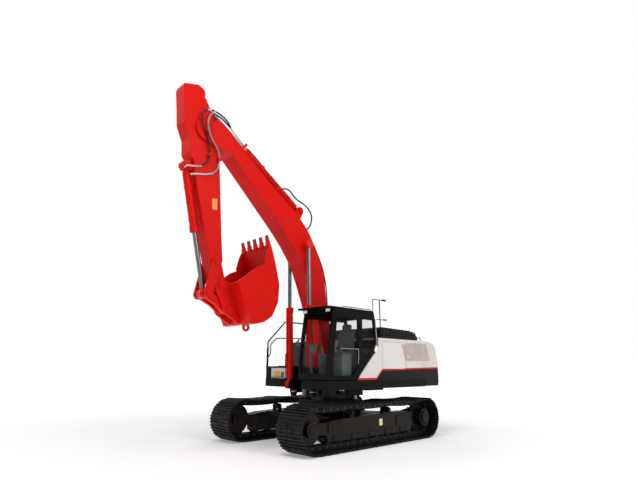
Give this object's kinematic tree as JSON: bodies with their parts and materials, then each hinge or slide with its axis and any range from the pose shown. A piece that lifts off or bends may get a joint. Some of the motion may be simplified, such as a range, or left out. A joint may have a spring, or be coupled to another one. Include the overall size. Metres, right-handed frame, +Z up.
{
  "type": "crawler excavator",
  "caption": "Crawler excavator with a red boom, arm and bucket on a slewing upper body with a cab, over two steel tracks",
  "frame": {"origin": "middle of the whole machine seen from above, on the ground under the grousers", "axes": "+X forward along the boom, +Y to the cab side (left), +Z up"},
  "size_m": [8.2, 3.4, 8.15],
  "materials": {
    "black_paint": "satin black enamel",
    "cab_glass": "tinted pane",
    "chassis_paint": "black chassis enamel",
    "engine_paint": "dark casting",
    "hose_rubber": "black rubber",
    "red_paint": "glossy red enamel",
    "rod_chrome": "polished chromed rod",
    "seat_cloth": "grey-green cloth",
    "track_steel": "dark worn steel",
    "trim": "dark moulded plastic",
    "white_paint": "glossy off-white enamel"
  },
  "bodies": {
    "undercarriage": {"track_left": "track_steel", "track_right": "track_steel", "track_frame_left": "chassis_paint", "track_frame_right": "chassis_paint", "sprockets": "track_steel", "idlers": "track_steel", "bottom_rollers": "track_steel", "carrier_rollers": "track_steel", "car_body": "chassis_paint", "swing_bearing": "chassis_paint"},
    "upper": {"cab_floor": "black_paint", "cab_front_frame": "black_paint", "cab_glass": "cab_glass", "cab_left_side": "black_paint", "cab_mounts": "hose_rubber", "cab_rear_frame": "black_paint", "cab_right_side": "black_paint", "cab_roof": "black_paint", "controls": "trim", "counterweight": "white_paint", "deck": "chassis_paint", "engine_block": "engine_paint", "handrails": "black_paint", "house_walls": "white_paint", "right_tanks": "white_paint", "seat": "seat_cloth", "toolbox": "white_paint"},
    "boom": {"boom": "red_paint"},
    "boom_barrels": {"boom_barrels": "red_paint"},
    "boom_rods": {"boom_rods": "rod_chrome"},
    "arm": {"arm": "red_paint"},
    "arm_barrel": {"arm_barrel": "red_paint"},
    "arm_rod": {"arm_rod": "rod_chrome"},
    "bucket_barrel": {"bucket_barrel": "red_paint"},
    "bucket_rod": {"bucket_rod": "rod_chrome"},
    "idler_links": {"idler_links": "red_paint"},
    "bucket_link": {"bucket_link": "red_paint"},
    "bucket": {"bucket_shell": "red_paint", "bucket_cheeks": "red_paint", "bucket_ears": "red_paint", "bucket_teeth": "track_steel"},
    "cab_door": {"cab_door": "black_paint", "cab_door_glass": "cab_glass"},
    "left_front_door": {"left_front_door": "white_paint"},
    "left_rear_door": {"left_rear_door": "white_paint"},
    "right_door": {"right_door": "white_paint"},
    "engine_hood": {"engine_hood": "black_paint"},
    "toolbox_lid": {"toolbox_lid": "black_paint"}
  },
  "joints": [
    {"name": "swing", "type": "hinge", "parent": "undercarriage", "child": "upper", "pos_m": [-0.8, 0, 1.2], "axis": [0, 0, 1], "continuous": true},
    {"name": "boom_lift", "type": "hinge", "parent": "upper", "child": "boom", "pos_m": [-0.65, 0, 1.85], "axis": [0, 1, 0], "range_deg": [-8, 94]},
    {"name": "boom_cylinder_pivot", "type": "hinge", "parent": "upper", "child": "boom_barrels", "pos_m": [0.24, 0, 1.34], "axis": [0, 1, 0], "range_deg": [-9.59, 107.34]},
    {"name": "boom_cylinder_stroke", "type": "slide", "parent": "boom_barrels", "child": "boom_rods", "axis": [0.0282, 0, 0.9996], "range_m": [-1.3699, 0.1202]},
    {"name": "arm_swing", "type": "hinge", "parent": "boom", "child": "arm", "pos_m": [3.42, 0, 7.08], "axis": [0, -1, 0], "range_deg": [-2, 102]},
    {"name": "arm_cylinder_pivot", "type": "hinge", "parent": "boom", "child": "arm_barrel", "pos_m": [0.4, 0, 5.85], "axis": [0, -1, 0], "range_deg": [-1.57, 0.52]},
    {"name": "arm_cylinder_stroke", "type": "slide", "parent": "arm_barrel", "child": "arm_rod", "axis": [0.8398, 0, 0.5428], "range_m": [-1.444, 0.0322]},
    {"name": "bucket_curl", "type": "hinge", "parent": "arm", "child": "bucket", "pos_m": [2.8, 0, 3.5], "axis": [0, -1, 0], "range_deg": [-2, 150]},
    {"name": "bucket_cylinder_pivot", "type": "hinge", "parent": "arm", "child": "bucket_barrel", "pos_m": [3.8, 0, 6.11], "axis": [0, -1, 0], "range_deg": [-0.6, 7.66]},
    {"name": "bucket_cylinder_stroke", "type": "slide", "parent": "bucket_barrel", "child": "bucket_rod", "axis": [-0.2377, 0, -0.9713], "range_m": [-1.1454, 0.0192]},
    {"name": "idler_pivot", "type": "hinge", "parent": "arm", "child": "idler_links", "pos_m": [2.97, 0, 4], "axis": [0, -1, 0], "range_deg": [-1.95, 109.16]},
    {"name": "link_pivot", "type": "hinge", "parent": "bucket", "child": "bucket_link", "pos_m": [2.56, 0, 2.985], "axis": [0, -1, 0], "range_deg": [-121.43, 2.11]},
    {"name": "left_front_door_hinge", "type": "hinge", "parent": "upper", "child": "left_front_door", "pos_m": [-1.226, 1.484, 2], "axis": [0, 0, -1], "range_deg": [0, 90]},
    {"name": "left_rear_door_hinge", "type": "hinge", "parent": "upper", "child": "left_rear_door", "pos_m": [-3.034, 1.484, 2], "axis": [0, 0, 1], "range_deg": [0, 90]},
    {"name": "right_door_hinge", "type": "hinge", "parent": "upper", "child": "right_door", "pos_m": [-3.034, -1.484, 2], "axis": [0, 0, -1], "range_deg": [0, 90]},
    {"name": "cab_door_hinge", "type": "hinge", "parent": "upper", "child": "cab_door", "pos_m": [-0.354, 1.494, 2.2], "axis": [0, 0, 1], "range_deg": [0, 100]},
    {"name": "hood_hinge", "type": "hinge", "parent": "upper", "child": "engine_hood", "pos_m": [-1.53, 0, 2.4803], "axis": [0, 1, 0], "range_deg": [0, 60]},
    {"name": "toolbox_lid_hinge", "type": "hinge", "parent": "upper", "child": "toolbox_lid", "pos_m": [-0.46, -1, 1.78], "axis": [0, -1, 0], "range_deg": [0, 80]}
  ],
  "couplings": [
    {"joint": "boom_cylinder_pivot", "follows": "boom_lift", "ratio": 1.1366},
    {"joint": "boom_cylinder_stroke", "follows": "boom_lift", "m_per_rad": -0.83254},
    {"joint": "arm_cylinder_pivot", "follows": "arm_swing", "ratio": -0.010536},
    {"joint": "arm_cylinder_stroke", "follows": "arm_swing", "m_per_rad": -0.80886},
    {"joint": "bucket_cylinder_pivot", "follows": "bucket_curl", "ratio": 0.047745},
    {"joint": "bucket_cylinder_stroke", "follows": "bucket_curl", "m_per_rad": -0.43597},
    {"joint": "idler_pivot", "follows": "bucket_curl", "ratio": 0.7244},
    {"joint": "link_pivot", "follows": "bucket_curl", "ratio": -0.80621}
  ]
}
